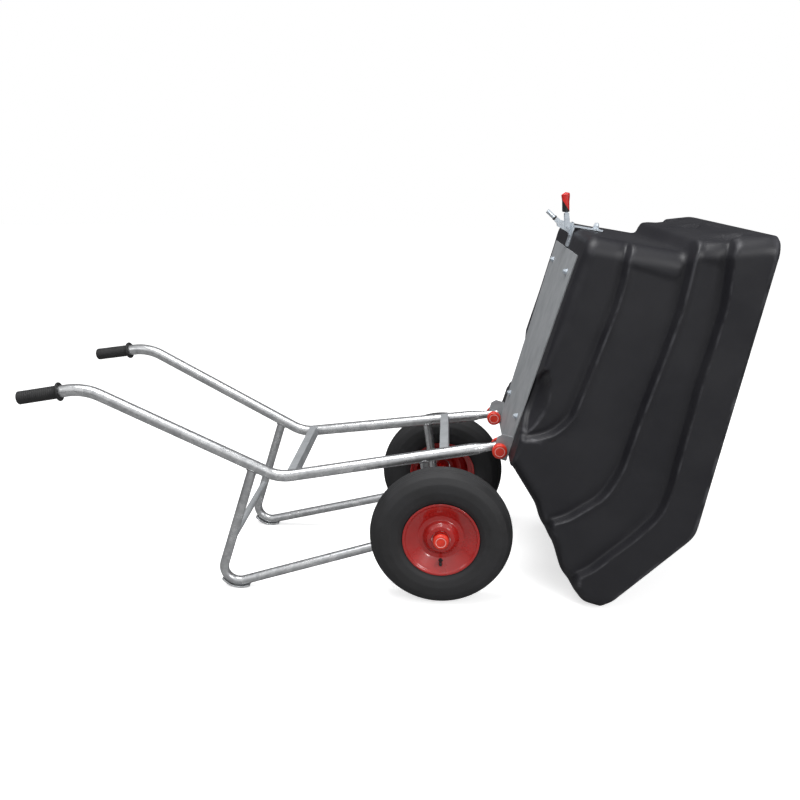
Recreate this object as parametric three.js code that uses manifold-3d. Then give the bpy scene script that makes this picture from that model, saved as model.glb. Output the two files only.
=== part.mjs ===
// Two-wheeled garden cart with a moulded tub that tips forward about two pivot bolts.
// Millimetres, +Z up, +X towards the tub's nose, +Y to the cart's left.
// The tub is shown tipped, with its nose on the ground and its toggle clamp open.
import * as THREE from "three";
import { mergeVertices } from "three/addons/utils/BufferGeometryUtils.js";
import Module from "manifold-3d";

const wasm = await Module();
wasm.setup();

// ---- driving dimensions ----
const GAP = 0.3; // between welded, bolted or seated pieces
const SIDES = [["right", -1], ["left", 1]];

// frame
const railLength = 629; // pivot to the lower bend
const slopeLength = 584; // lower bend to the upper bend
const gripSpan = 176; // upper bend to the handle end
const railAngle = 8.2; // degrees, rail rises towards the pivot
const slopeAngle = 27;
const gripAngle = 8.8;
const lowBendRadius = 110;
const topBendRadius = 150;
const pivotX = 160;
const pivotZ = 424.5;
const pivotHalf = 157; // tube centre to the middle plane at the pivot
const toeIn = 0.091; // tubes spread by this much for each mm towards the handles
const tubeRadius = 16.85;
const tubeWall = 2.6;
const railAbovePivot = 6.5;
const railNose = 14; // tube past the pivot
const squeezeLength = 85;
const squeezeShare = 0.4; // part of that length over which the section changes
const squeezeTall = 0.72;
const squeezeWide = 0.68;
const gripSides = 18;
const gripSlack = 0.04;
const gripWall = 1.35;
const gripFlange = 8.5; // flange beyond the sleeve

// leg loops
const legRadius = 13.45;
const legWall = 2.3;
const legLean = 17.7; // degrees from upright
const footRise = 15.1;
const footX = -585;
const footBendRadius = 45;
const frontBendRadius = 38;
const skidThick = 6;
const skidWidth = 24;
const crossBarRadius = 10;
const crossBarHeight = 150;

// wheels
const wheelRadius = 200;
const track = 527;
const tyreHalf = 48.5;
const rimRadius = 107.5;
const rimHalf = 39.5;
const rimThick = 3;
const bead = 103; // radius where the tyre sits on the rim
const valveAt = 70; // below the wheel centre
const valveRadius = 3.8;
const axleRadius = 10;
const hubRadius = 25;
const hubHalf = 38;
const hubWall = 4;
const bearingWidth = 12;
const axleWasher = 3;
const axleStub = 8;
const hubCapRadius = 22;

// cross members
const memberWidth = 24;
const memberHeight = 28;
const memberWall = 2.5;
const rearMemberBehind = 590; // behind the pivot, along the rail
const frontMemberBehind = 155;

// pivots
const boltRadius = 6;
const earThick = 4;
const spacerThick = 6;
const nutHeight = 9;
const nutRadius = 10.5;
const capRadius = 21.5;
const capLength = 17;
const capWall = 2.2;

// support plate, in the tub's own frame: behind the pivot is -X, up is +Z
const plateThick = 3;
const plateRest = 24.6; // pivot axis to the plate's underside
const plateBehind = 577;
const plateRearHalf = 222;
const plateFrontHalf = 181;
const earBehind = 47;
const earAhead = 25;
const earDrop = 17;
const earChamfer = 12;
const plateBoltRadius = 4;
const plateBolts = [["front", 95, 128], ["rear", 524, 150]];

// tub
const tubWall = 6;
const tubBaseHalf = 301; // half widths of the four tiers, bottom to rim, at the rear
const tierStep = [0, 26, 56, 88];
const tubTaper = 0.0773; // half width lost for each mm towards the nose
const taperFrom = 700;
const bottomBehind = 637;
const rearLean = 0.116;
const heelBack = 26; // slope cut off the rear bottom edge, clear of the tubes' bends
const heelUp = 15;
const stepHeight = 262;
const stepOut = 33;
const rearUpperLean = 0.4;
const rimRear = 450; // rim height above the pivot at its rear end
const rimSlope = 0.128;
const noseSlope = 0.535;
const noseFrom = -37.5;
const noseWallSlope = 1.28; // rise of the topmost front wall for each mm forward
const edgeRound = 36;
const archRadius = 138;
const archBehind = 165;
const archBelow = 49;
const archHalf = 186;
const archRound = 40;

// tipping and clamp
const tippedAngle = 105.5; // nose-down turn of the tub, degrees
const bracketThick = 4;
const bracketWidth = 40;
const bracketFrom = 581;
const bracketUp = 106;
const clampArmAt = [636, -11]; // behind the pivot, above the pivot
const clampHandleAt = [631, 11];
const armOpen = 116.4; // degrees from pointing forward
const handleOpen = 157.8;
const armLength = 51;
const rodRadius = 6;
const rodFrom = 20;
const cheekInner = 6;
const cheekThick = 2.5;
const pinRadius = 3;
const leverThick = 2.5;
const gripFrom = 42;
const gripTo = 97;

// ---- materials ----
const finish = (color, roughness, metalness) =>
  new THREE.MeshStandardMaterial({ color, roughness, metalness });
const galvanised = finish(0xb9bcbd, 0.38, 0.9);
const galvanisedSheet = finish(0x8d9193, 0.5, 0.8);
const zinc = finish(0xb4bcc8, 0.3, 0.95);
const blackRubber = finish(0x161617, 0.8, 0);
const tyreRubber = finish(0x1b1b1c, 0.85, 0);
const redPaint = finish(0xb01410, 0.25, 0.1);
const redPlastic = finish(0xe03828, 0.4, 0);
const tubPlastic = finish(0x2b2b2f, 0.5, 0);
const steel = finish(0x6f7276, 0.4, 0.9);

// ---- solids ----
const rad = THREE.MathUtils.degToRad;
const lerp = THREE.MathUtils.lerp;

function toSolid(geometry) {
  const bare = geometry.clone();
  bare.deleteAttribute("normal");
  bare.deleteAttribute("uv");
  const merged = mergeVertices(bare, 1e-4);
  const mesh = new wasm.Mesh({
    numProp: 3,
    vertProperties: new Float32Array(merged.attributes.position.array),
    triVerts: new Uint32Array(merged.index.array),
  });
  return new wasm.Manifold(mesh);
}

function toGeometry(solid) {
  const mesh = solid.getMesh();
  const geometry = new THREE.BufferGeometry();
  geometry.setAttribute("position", new THREE.BufferAttribute(mesh.vertProperties, 3));
  geometry.setIndex(new THREE.BufferAttribute(mesh.triVerts, 1));
  return geometry;
}

const join = (...geometries) =>
  toGeometry(geometries.map(toSolid).reduce((all, next) => all.add(next)));
const cut = (geometry, ...tools) =>
  toGeometry(tools.map(toSolid).reduce((left, tool) => left.subtract(tool), toSolid(geometry)));

function piece(name, geometry, material, parent) {
  const mesh = new THREE.Mesh(geometry, material);
  mesh.name = name;
  parent.add(mesh);
  return mesh;
}

// ---- shape helpers ----

// Twice the signed area inside an outline of [a, b] points.
const doubleArea = (points) => points.reduce((sum, [a, b], i) => {
  const [nextA, nextB] = points[(i + 1) % points.length];
  return sum + a * nextB - nextA * b;
}, 0);

// Turned shape about the Y axis from [radius, y] points that start and end on the axis or close.
function turned(points, segments) {
  const ordered = doubleArea(points) > 0 ? points : [...points].reverse();
  return new THREE.LatheGeometry(ordered.map(([r, y]) => new THREE.Vector2(r, y)), segments);
}

// Ring or tube about the Y axis between two radii and two places along Y.
function ring(inner, outer, low, high, segments) {
  return turned([[inner, low], [outer, low], [outer, high], [inner, high], [inner, low]], segments);
}

// Solid round bar along Y.
function bar(radius, low, high, segments) {
  const geometry = new THREE.CylinderGeometry(radius, radius, high - low, segments);
  return geometry.translate(0, (low + high) / 2, 0);
}

// Round outline of a hole or a section, as a ring of points with no doubled end.
function circle(x, y, radius, sides) {
  const points = [];
  for (let k = 0; k < sides; k++) {
    const a = (Math.PI * 2 * k) / sides;
    points.push(new THREE.Vector2(x + radius * Math.cos(a), y + radius * Math.sin(a)));
  }
  return points;
}

// Flat plate with an outline in X and Z, between two places along Y.
function plateXZ(points, low, high, holes = []) {
  const shape = new THREE.Shape(points.map(([x, z]) => new THREE.Vector2(x, z)));
  for (const [x, z, r] of holes) shape.holes.push(new THREE.Path(circle(x, z, r, 16)));
  const geometry = new THREE.ExtrudeGeometry(shape, { depth: high - low, bevelEnabled: false });
  geometry.rotateX(Math.PI / 2);
  return geometry.translate(0, high, 0);
}

// Route of a bent pipe: straight runs with an arc of the given radius at each inner corner.
// A corner with no bend steps is only a station on a straight run.
class PipeRoute extends THREE.Curve {
  constructor(corners, radii, bendSteps) {
    super();
    this.places = [corners[0].clone()];
    this.ways = [corners[1].clone().sub(corners[0]).normalize()];
    for (let i = 1; i < corners.length - 1; i++) {
      const inward = corners[i].clone().sub(corners[i - 1]).normalize();
      const outward = corners[i + 1].clone().sub(corners[i]).normalize();
      const turn = inward.angleTo(outward);
      const setback = radii[i - 1] * Math.tan(turn / 2);
      const towards = outward.clone().addScaledVector(inward, -inward.dot(outward)).normalize();
      const begin = corners[i].clone().addScaledVector(inward, -setback);
      for (let k = 0; k <= bendSteps[i - 1]; k++) {
        const a = (turn * k) / Math.max(1, bendSteps[i - 1]);
        const place = begin.clone().addScaledVector(inward, radii[i - 1] * Math.sin(a));
        place.addScaledVector(towards, radii[i - 1] * (1 - Math.cos(a)));
        this.places.push(place);
        this.ways.push(inward.clone().multiplyScalar(Math.cos(a)).addScaledVector(towards, Math.sin(a)));
      }
    }
    this.places.push(corners.at(-1).clone());
    this.ways.push(this.ways.at(-1).clone());
    this.steps = this.places.length - 1;
  }

  getPointAt(t) {
    return this.places[Math.round(t * this.steps)].clone();
  }

  getTangentAt(t) {
    return this.ways[Math.round(t * this.steps)].clone();
  }

  getSpacedPoints() {
    return this.places.map((place) => place.clone());
  }
}

// Pipe along a route: a ring section, or a solid one where the wall is zero.
function pipe(route, radius, wall, sides) {
  const section = new THREE.Shape(circle(0, 0, radius, sides));
  if (wall > 0) section.holes.push(new THREE.Path(circle(0, 0, radius - wall, sides)));
  return new THREE.ExtrudeGeometry(section, {
    steps: route.steps, bevelEnabled: false, extrudePath: route,
  });
}

// Unit vector at an angle above +X in the XZ plane.
const along = (degrees) => new THREE.Vector3(Math.cos(rad(degrees)), 0, Math.sin(rad(degrees)));

// Where a line from p along d meets a line from q along e, in the XZ plane.
function meet(p, d, q, e) {
  const t = ((q.x - p.x) * e.z - (q.z - p.z) * e.x) / (d.x * e.z - d.z * e.x);
  return p.clone().addScaledVector(d, t);
}

// The frame's pipes lie in a plane that leans outward towards the handles.
const halfAt = (x) => pivotHalf + toeIn * (pivotX - x);
const onSide = (point, side) => new THREE.Vector3(point.x, side * halfAt(point.x), point.z);

// ---- frame layout ----
const pivot = new THREE.Vector3(pivotX, 0, pivotZ);
const axleCentre = new THREE.Vector3(0, 0, wheelRadius);
const railWay = along(railAngle);
const railUp = along(railAngle + 90);
const railFoot = pivot.clone().addScaledVector(railUp, railAbovePivot);
const railEnd = railFoot.clone().addScaledVector(railWay, railNose);
const lowBend = railFoot.clone().addScaledVector(railWay, -railLength);
const slopeWay = along(180 - slopeAngle);
const topBend = lowBend.clone().addScaledVector(slopeWay, slopeLength);
const handleWay = along(180 + gripAngle);
const handleEnd = topBend.clone().addScaledVector(handleWay, gripSpan);

function mainRoute(side) {
  const stations = [1, 1 - squeezeShare].map((share) =>
    railEnd.clone().addScaledVector(railWay, -squeezeLength * share));
  const corners = [handleEnd, topBend, lowBend, ...stations, railEnd];
  return new PipeRoute(
    corners.map((p) => onSide(p, side)), [topBendRadius, lowBendRadius, 1, 1], [3, 3, 0, 0]);
}

// Leg loop: leg, foot bend, run to the axle, bend and strut up to the rail, in one pipe.
const skidInner = footBendRadius + legRadius + 3 * GAP;
const skidFacet = 10; // degrees; one flat facet of the skid lies on the ground
const footCentre = new THREE.Vector3(footX, 0, (skidInner + skidThick) * Math.cos(rad(skidFacet / 2)));
const legWay = along(90 - legLean);
const runWay = along(footRise);
const strutWay = railUp;
const legPoint = footCentre.clone().addScaledVector(along(180 - legLean), footBendRadius);
const runPoint = footCentre.clone().addScaledVector(along(footRise - 90), footBendRadius);
const strutBack = along(railAngle + 180);
const strutPoint = axleCentre.clone().addScaledVector(strutBack, axleRadius + legRadius + GAP);
const legTop = meet(legPoint, legWay, lowBend, slopeWay);
const footCorner = meet(legPoint, legWay, runPoint, runWay);
const frontCorner = meet(runPoint, runWay, strutPoint, strutWay);
const strutTop = meet(strutPoint, strutWay, railFoot, railWay);
const loopRoute = (side) =>
  new PipeRoute(
    [legTop, footCorner, frontCorner, strutTop].map((p) => onSide(p, side)),
    [footBendRadius, frontBendRadius], [6, 5]);

// Narrows the last stretch of the tube around its own centre line, as if pressed in a die.
function squeezed(geometry, side) {
  const begin = railEnd.clone().addScaledVector(railWay, -squeezeLength);
  const position = geometry.attributes.position;
  const point = new THREE.Vector3();
  for (let i = 0; i < position.count; i++) {
    point.fromBufferAttribute(position, i);
    const on = point.clone().sub(begin).dot(railWay);
    if (on > 1 - GAP) {
      const share = Math.min(1, on / (squeezeLength * squeezeShare));
      const centre = begin.clone().addScaledVector(railWay, on);
      const up = point.clone().sub(centre).dot(railUp);
      const middle = side * halfAt(centre.x);
      const out = point.y - middle;
      const tall = lerp(1, squeezeTall, share);
      const wide = lerp(1, squeezeWide, share);
      point.addScaledVector(railUp, up * (tall - 1));
      point.y = middle + out * wide;
      position.setXYZ(i, point.x, point.y, point.z);
    }
  }
  return geometry;
}

const cart = new THREE.Group();
const frame = new THREE.Group();
cart.add(frame);

// ---- main tubes, grips and leg loops ----
const toeSlack = toeIn * capRadius; // the pressed end still runs at the toe-in angle
const boltSeat = pivotHalf + tubeRadius * squeezeWide + toeSlack;
const headSeat = pivotHalf - tubeRadius * squeezeWide - toeSlack;
const earInner = boltSeat + 2 * GAP + spacerThick;

for (const [name, side] of SIDES) {
  const route = mainRoute(side);
  const boltHole = bar(boltRadius + GAP, 100, 220, 16);
  boltHole.translate(0, side < 0 ? -320 : 0, 0).translate(pivot.x, 0, pivot.z);
  const tube = cut(squeezed(pipe(route, tubeRadius, tubeWall, 14), side), boltHole);
  piece(`main_tube_${name}`, tube, galvanised, frame);

  // rubber grip, a cup pulled over the handle end, with a flange towards the cart
  const bore = tubeRadius / Math.cos(Math.PI / gripSides) + gripSlack; // its flats clear the tube
  const sleeve = bore + gripWall;
  const flange = sleeve + gripFlange;
  const grip = turned([
    [0, -6], [sleeve - 3.5, -6], [sleeve, -2], [sleeve, 104], [flange - 1, 106], [flange, 110],
    [flange - 1, 113], [bore, 113], [bore, GAP - 1], [0, GAP - 1],
  ], gripSides);
  const onTube = new THREE.Group();
  const start = onSide(handleEnd, side);
  onTube.position.copy(start);
  const forward = onSide(topBend, side).sub(start).normalize();
  onTube.quaternion.setFromUnitVectors(new THREE.Vector3(0, 1, 0), forward);
  frame.add(onTube);
  piece(`grip_${name}`, grip, blackRubber, onTube);

  const clearTube = pipe(route, tubeRadius + GAP, 0, 20);
  const loop = cut(pipe(loopRoute(side), legRadius, legWall, 12), clearTube);
  piece(`leg_loop_${name}`, loop, galvanised, frame);

  // wear skid, a curved strip of flat facets under the foot bend
  const strip = [];
  for (const [reach, order] of [[skidInner, 1], [skidInner + skidThick, -1]]) {
    for (let k = -5.5; k <= 2.5; k++) {
      const a = rad(-90 + skidFacet * (order > 0 ? k : -3 - k));
      strip.push([reach * Math.cos(a), reach * Math.sin(a)]);
    }
  }
  const skid = plateXZ(strip, -skidWidth / 2, skidWidth / 2);
  const placed = piece(`foot_skid_${name}`, skid, galvanised, frame);
  placed.position.copy(onSide(footCentre, side));
}

// ---- cross members and leg cross bar, coped to the tubes ----
function crossMember(behind) {
  const half = memberWidth / 2;
  const inside = half - memberWall;
  const shape = new THREE.Shape([
    new THREE.Vector2(-half, -memberHeight), new THREE.Vector2(half, -memberHeight),
    new THREE.Vector2(half, 0), new THREE.Vector2(-half, 0),
  ]);
  shape.holes.push(new THREE.Path([
    new THREE.Vector2(-inside, memberWall - memberHeight), new THREE.Vector2(-inside, -memberWall),
    new THREE.Vector2(inside, -memberWall), new THREE.Vector2(inside, memberWall - memberHeight),
  ]));
  const top = railFoot.clone().addScaledVector(railWay, -behind).addScaledVector(railUp, tubeRadius);
  const reach = halfAt(top.x);
  const box = new THREE.ExtrudeGeometry(shape, { depth: 2 * reach, bevelEnabled: false });
  box.rotateX(Math.PI / 2).translate(0, reach, 0).rotateY(-rad(railAngle));
  box.translate(top.x, 0, top.z);
  const tubes = SIDES.map(([, side]) => pipe(mainRoute(side), tubeRadius + GAP, 0, 20));
  const solids = toSolid(cut(box, ...tubes)).decompose();
  const middle = solids.reduce((best, next) => (next.volume() > best.volume() ? next : best));
  return toGeometry(middle);
}
piece("rear_cross_member", crossMember(rearMemberBehind), galvanisedSheet, frame);
piece("front_cross_member", crossMember(frontMemberBehind), galvanisedSheet, frame);

const crossBarX = legPoint.x + (crossBarHeight - legPoint.z) / Math.tan(rad(90 - legLean));
const crossBarReach = halfAt(crossBarX);
const crossBar = bar(crossBarRadius, -crossBarReach, crossBarReach, 16);
crossBar.translate(crossBarX, 0, crossBarHeight);
const legTools = SIDES.map(([, side]) => pipe(loopRoute(side), legRadius + GAP, 0, 16));
piece("leg_cross_bar", cut(crossBar, ...legTools), galvanisedSheet, frame);

// ---- axle and wheels ----
const wheelY = track / 2;
const hubEnd = wheelY + hubHalf;
const axleEnd = hubEnd + GAP + axleWasher + axleStub;
const axle = bar(axleRadius, -axleEnd, axleEnd, 16);
piece("axle", axle, steel, frame).position.copy(axleCentre);

for (const [name, side] of SIDES) {
  const place = (low, high) => (side > 0 ? [low, high] : [-high, -low]);
  const collarSpan = place(wheelY - hubHalf - GAP - 9, wheelY - hubHalf - GAP);
  const collar = ring(axleRadius + GAP, 17, ...collarSpan, 16);
  piece(`axle_collar_${name}`, collar, steel, frame).position.copy(axleCentre);
  const washerSpan = place(hubEnd + GAP, hubEnd + GAP + axleWasher);
  const washer = ring(axleRadius + GAP, 18, ...washerSpan, 16);
  piece(`axle_washer_${name}`, washer, zinc, frame).position.copy(axleCentre);

  const wheel = new THREE.Group();
  wheel.position.set(axleCentre.x, side * wheelY, axleCentre.z);
  if (side < 0) wheel.rotation.z = Math.PI; // the outer face points away from the cart
  frame.add(wheel);

  // tyre, an open-bottomed carcass whose beads sit against the rim flanges
  const wall = 8;
  const halfSection = [
    [bead, 31.5], [108, 35.3], [121, 44], [142, tyreHalf], [166, 47], [184, 37], [196, 19],
  ];
  const halfCavity = [[bead, 31.5 - wall], [122, 36], [162, 38], [184, 22]];
  const flip = (points) => points.map(([r, y]) => [r, -y]).reverse();
  const tyre = turned([
    ...halfSection, [wheelRadius, 0], ...flip(halfSection), ...flip(halfCavity).reverse(),
    [wheelRadius - wall, 0], ...halfCavity.reverse(), halfSection[0],
  ], 24);
  piece(`tyre_${name}`, tyre, tyreRubber, wheel);

  // rim: drop centre between two flanges, with a dished disc near its outer side
  const t = rimThick;
  const seat = bead - GAP;
  const hubSeat = hubRadius + GAP;
  const rim = turned([
    [hubSeat, 34], [40, 33], [49, 26], [64, 26], [95, 36], [104, rimHalf], [rimRadius, rimHalf],
    [rimRadius, rimHalf - t], [seat, rimHalf - 2 * t], [seat, 20], [88, 12], [88, -12],
    [seat, -20], [seat, 2 * t - rimHalf], [rimRadius, t - rimHalf], [rimRadius, -rimHalf],
    [seat - t, -35], [seat - t, -22], [88 - t, -14], [88 - t, 14], [98, 21.5],
    [96, 33], [65, 26 - t], [48, 26 - t], [39, 33 - t], [hubSeat, 34 - t], [hubSeat, 34],
  ], 24);
  const valveHole = bar(valveRadius + GAP, 0, 60, 12).translate(0, 0, -valveAt);
  piece(`rim_${name}`, cut(rim, valveHole), redPaint, wheel);

  const hub = ring(hubRadius - hubWall, hubRadius, -hubHalf, hubHalf, 24);
  piece(`hub_${name}`, hub, redPaint, wheel);
  const race = hubRadius - hubWall - GAP;
  const spin = axleRadius + GAP;
  const outerBearing = ring(spin, race, hubHalf - bearingWidth, hubHalf, 16);
  piece(`outer_bearing_${name}`, outerBearing, steel, wheel);
  const innerBearing = ring(spin, race, -hubHalf, bearingWidth - hubHalf, 16);
  piece(`inner_bearing_${name}`, innerBearing, steel, wheel);

  // rubber valve stem through the disc, with a foot behind it and a screwed cap in front
  const valve = turned([
    [0, 10], [6.5, 10], [6.5, 21], [valveRadius, 22.5], [valveRadius, 37], [4.6, 37], [4.6, 47],
    [0, 48],
  ], 12);
  piece(`valve_${name}`, valve.translate(0, 0, -valveAt), blackRubber, wheel);

  // domed cap over the axle end
  const capInner = hubCapRadius - capWall;
  const low = GAP + axleWasher + GAP;
  const cover = axleStub + 6;
  const hubCap = turned([
    [capInner, 0], [hubCapRadius, 0], [hubCapRadius, cover - 5], [hubCapRadius - 4, cover - 1],
    [0, cover], [0, cover - capWall], [capInner, cover - capWall - 2], [capInner, 0],
  ], 16);
  const capMesh = piece(`hub_cap_${name}`, hubCap, redPlastic, frame);
  capMesh.position.set(axleCentre.x, side * (hubEnd + low), axleCentre.z);
  if (side < 0) capMesh.rotation.z = Math.PI;
}

// ---- tub, in its own frame with the pivot axis as its origin ----
const tubGroup = new THREE.Group();
tubGroup.position.copy(pivot);
tubGroup.rotation.y = rad(tippedAngle);
cart.add(tubGroup);

// Outlines below are [behind, up] points; behind the pivot is -X.
const baseUp = plateRest + plateThick + GAP;
const rearUpper = [bottomBehind + rearLean * (stepHeight - baseUp) + stepOut, stepHeight + 8];
const rearRim = [rearUpper[0] + rearUpperLean * 190, rearUpper[1] + 190];
const rimUp = (behind) =>
  behind > noseFrom ? rimRear + rimSlope * (745 - behind) : noseUp(behind);
const noseUp = (behind) => rimRear + rimSlope * (745 - noseFrom) + noseSlope * (behind - noseFrom);

// Place along the underside where the tipped rim line meets the ground: the nose wall turns up there.
const past = rad(tippedAngle - 90);
const noseLimit = (noseUp(0) * Math.sin(past) - pivotZ) / (Math.cos(past) - noseSlope * Math.sin(past));
const headroom = 640;
const rearLower = (up) => [bottomBehind + rearLean * (up - baseUp), up];

// Front wall of a tier, bottom to top; where a wider tier covers it, it stays just inside that one.
function frontWall(tier) {
  const wall = [[-6, baseUp], [-102, 131], [-144, 156], [-193, 209], [-267, 256]];
  wall.push([noseLimit, 256 + noseWallSlope * (-267 - noseLimit)], [noseLimit, headroom]);
  const [first, covered] = [[0, 2], [0, 2], [2, 4], [4, 7]][tier];
  const tucked = wall.map(([behind, up], i) => (i < covered ? [behind, up] : [behind + 4 * (3 - tier), up]));
  return tucked.slice(first);
}

function tierOutline(tier) {
  const front = frontWall(tier).reverse();
  if (tier === 0) {
    const edge = [[bottomBehind - heelBack, baseUp], rearLower(baseUp + heelUp)];
    return [...edge, rearLower(headroom), ...front];
  }
  if (tier === 1) {
    return [rearLower(112), rearLower(headroom), ...front, [86, baseUp], [97, 105], [148, 129], [212, 143]];
  }
  if (tier === 2) {
    return [
      rearUpper, rearRim, [rearRim[0], headroom], ...front, [-69, 215], [8, 273], [92, 303],
      [200, 309],
    ];
  }
  return [
    [rearUpper[0] + rearUpperLean * 66, rearUpper[1] + 66], rearRim, [rearRim[0], headroom],
    ...front, [-173, 325], [-94, 362], [27, 400], [126, 421], [244, 422],
  ];
}

// Moves each edge of a clockwise or anticlockwise outline inward by a distance.
function insetOutline(points, distance) {
  const turn = Math.sign(doubleArea(points));
  return points.map((point, i) => {
    const before = points[(i + points.length - 1) % points.length];
    const after = points[(i + 1) % points.length];
    const a = new THREE.Vector2(point[0] - before[0], point[1] - before[1]).normalize();
    const b = new THREE.Vector2(after[0] - point[0], after[1] - point[1]).normalize();
    const na = new THREE.Vector2(-a.y * turn, a.x * turn);
    const nb = new THREE.Vector2(-b.y * turn, b.x * turn);
    const mid = na.clone().add(nb).normalize();
    const reach = distance / mid.dot(na);
    return [point[0] + mid.x * reach, point[1] + mid.y * reach];
  });
}

// One tier: its outline carried across the tub, with rounded edges, narrowing to the nose.
function tierSolid(tier, inset) {
  const outline = insetOutline(tierOutline(tier), inset);
  const half = tubBaseHalf + tierStep[tier] - inset;
  const round = edgeRound - inset;
  const shape = new THREE.Shape(outline.map(([behind, up]) => new THREE.Vector2(-behind, up)));
  const geometry = new THREE.ExtrudeGeometry(shape, {
    depth: 2 * (half - round), bevelEnabled: true, bevelThickness: round, bevelSize: round,
    bevelOffset: -round, bevelSegments: 2,
  });
  geometry.translate(0, 0, round - half + 0).rotateX(Math.PI / 2);
  const position = geometry.attributes.position;
  for (let i = 0; i < position.count; i++) {
    const behind = -position.getX(i);
    const narrow = 1 - (tubTaper * (taperFrom - behind)) / (tubBaseHalf + tierStep[3]);
    position.setY(i, position.getY(i) * narrow);
  }
  return toSolid(geometry);
}

// Space above the rim: everything over the long rear rim and the lower pouring nose.
function aboveRim() {
  const knee = [];
  for (const behind of [60, 25, -10, -40, -75, -110]) {
    const sag = 9 * Math.max(0, 1 - Math.abs(behind - noseFrom) / 75);
    knee.push([-behind, rimUp(behind) - sag]);
  }
  const outline = [[-900, rimUp(900)], ...knee, [600, rimUp(-600)], [600, 900], [-900, 900]];
  return toSolid(plateXZ(outline, -500, 500));
}

// Wheel arches: a rounded drum let into each lower side, over the wheels when lowered.
function archSolids(grow) {
  const r = archRadius + grow;
  const start = archHalf - grow;
  const drum = [[0, start], [r - archRound, start]];
  for (let k = 1; k <= 4; k++) {
    const a = (Math.PI / 2) * (k / 4);
    drum.push([r - archRound + archRound * Math.sin(a), start + archRound * (1 - Math.cos(a))]);
  }
  drum.push([r, 450], [0, 450]);
  return SIDES.map(([, side]) => {
    const geometry = turned(drum, 26);
    if (side < 0) geometry.rotateZ(Math.PI);
    return toSolid(geometry.translate(-archBehind, 0, -archBelow));
  });
}

const bulk = (inset) => [0, 1, 2, 3].map((tier) => tierSolid(tier, inset)).reduce((a, b) => a.add(b));
const shell = () => {
  const rim = aboveRim();
  const outer = archSolids(0).reduce((left, arch) => left.subtract(arch), bulk(0));
  const cavity = archSolids(tubWall).reduce((left, arch) => left.subtract(arch), bulk(tubWall));
  return outer.subtract(cavity).subtract(rim);
};

// Bolt holes through the tub floor and rear wall.
const bracketWallUp = bracketUp - 17;
const wallTilt = Math.atan(rearLean);
function holeAt(behind, y, up, tilt, radius) {
  const hole = new THREE.CylinderGeometry(radius, radius, 60, 16);
  hole.rotateX(Math.PI / 2).rotateY(tilt);
  return hole.translate(-behind, y, up);
}
const plateSpots = [];
for (const [end, behind, y] of plateBolts) {
  for (const [name, side] of SIDES) {
    plateSpots.push([`${end}_${name}`, behind, side * y]);
  }
}
const wallSpot = [rearLower(bracketWallUp)[0], bracketWallUp];
const wallTurn = -Math.PI / 2 - wallTilt; // points back, square out of the rear wall
const holeRadius = plateBoltRadius + GAP;
const floorHoles = plateSpots.map(([, behind, y]) => holeAt(behind, y, baseUp, 0, holeRadius));
const wallHole = holeAt(wallSpot[0], 0, wallSpot[1], wallTurn, holeRadius);
const tubShell = [...floorHoles, wallHole].map(toSolid)
  .reduce((left, hole) => left.subtract(hole), shell());
piece("tub", toGeometry(tubShell), tubPlastic, tubGroup);

// ---- support plate with its two pivot ears ----
const plateOutline = new THREE.Shape([
  new THREE.Vector2(earAhead - 8, -plateFrontHalf + 12), new THREE.Vector2(earAhead - 8, plateFrontHalf - 12),
  new THREE.Vector2(-earBehind, plateFrontHalf), new THREE.Vector2(-plateBehind, plateRearHalf),
  new THREE.Vector2(-plateBehind, -plateRearHalf), new THREE.Vector2(-earBehind, -plateFrontHalf),
]);
for (const [, behind, y] of plateSpots) {
  plateOutline.holes.push(new THREE.Path(circle(-behind, y, holeRadius, 16)));
}
const sheet = new THREE.ExtrudeGeometry(plateOutline, { depth: plateThick, bevelEnabled: false });
sheet.translate(0, 0, plateRest);
const c = earChamfer;
const earOutline = [
  [earAhead, plateRest + plateThick], [-earBehind, plateRest + plateThick],
  [-earBehind, -earDrop + c], [-earBehind + c, -earDrop], [earAhead - c, -earDrop],
  [earAhead, -earDrop + c],
];
const ears = SIDES.map(([, side]) => {
  const [low, high] = side > 0 ? [earInner, earInner + earThick] : [-earInner - earThick, -earInner];
  return plateXZ(earOutline, low, high, [[0, 0, boltRadius + GAP]]);
});
piece("support_plate", join(sheet, ...ears), galvanisedSheet, tubGroup);

// Hexagon nut with a round flange, standing along +Y on its flange.
function flangeNut(bore, flats, flange, low, height) {
  const body = bar(flats, low + 1, low + height, 6);
  return cut(join(ring(bore - 1, flange, low, low + 2, 16), body), bar(bore, low - 5, low + 40, 16));
}

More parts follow.
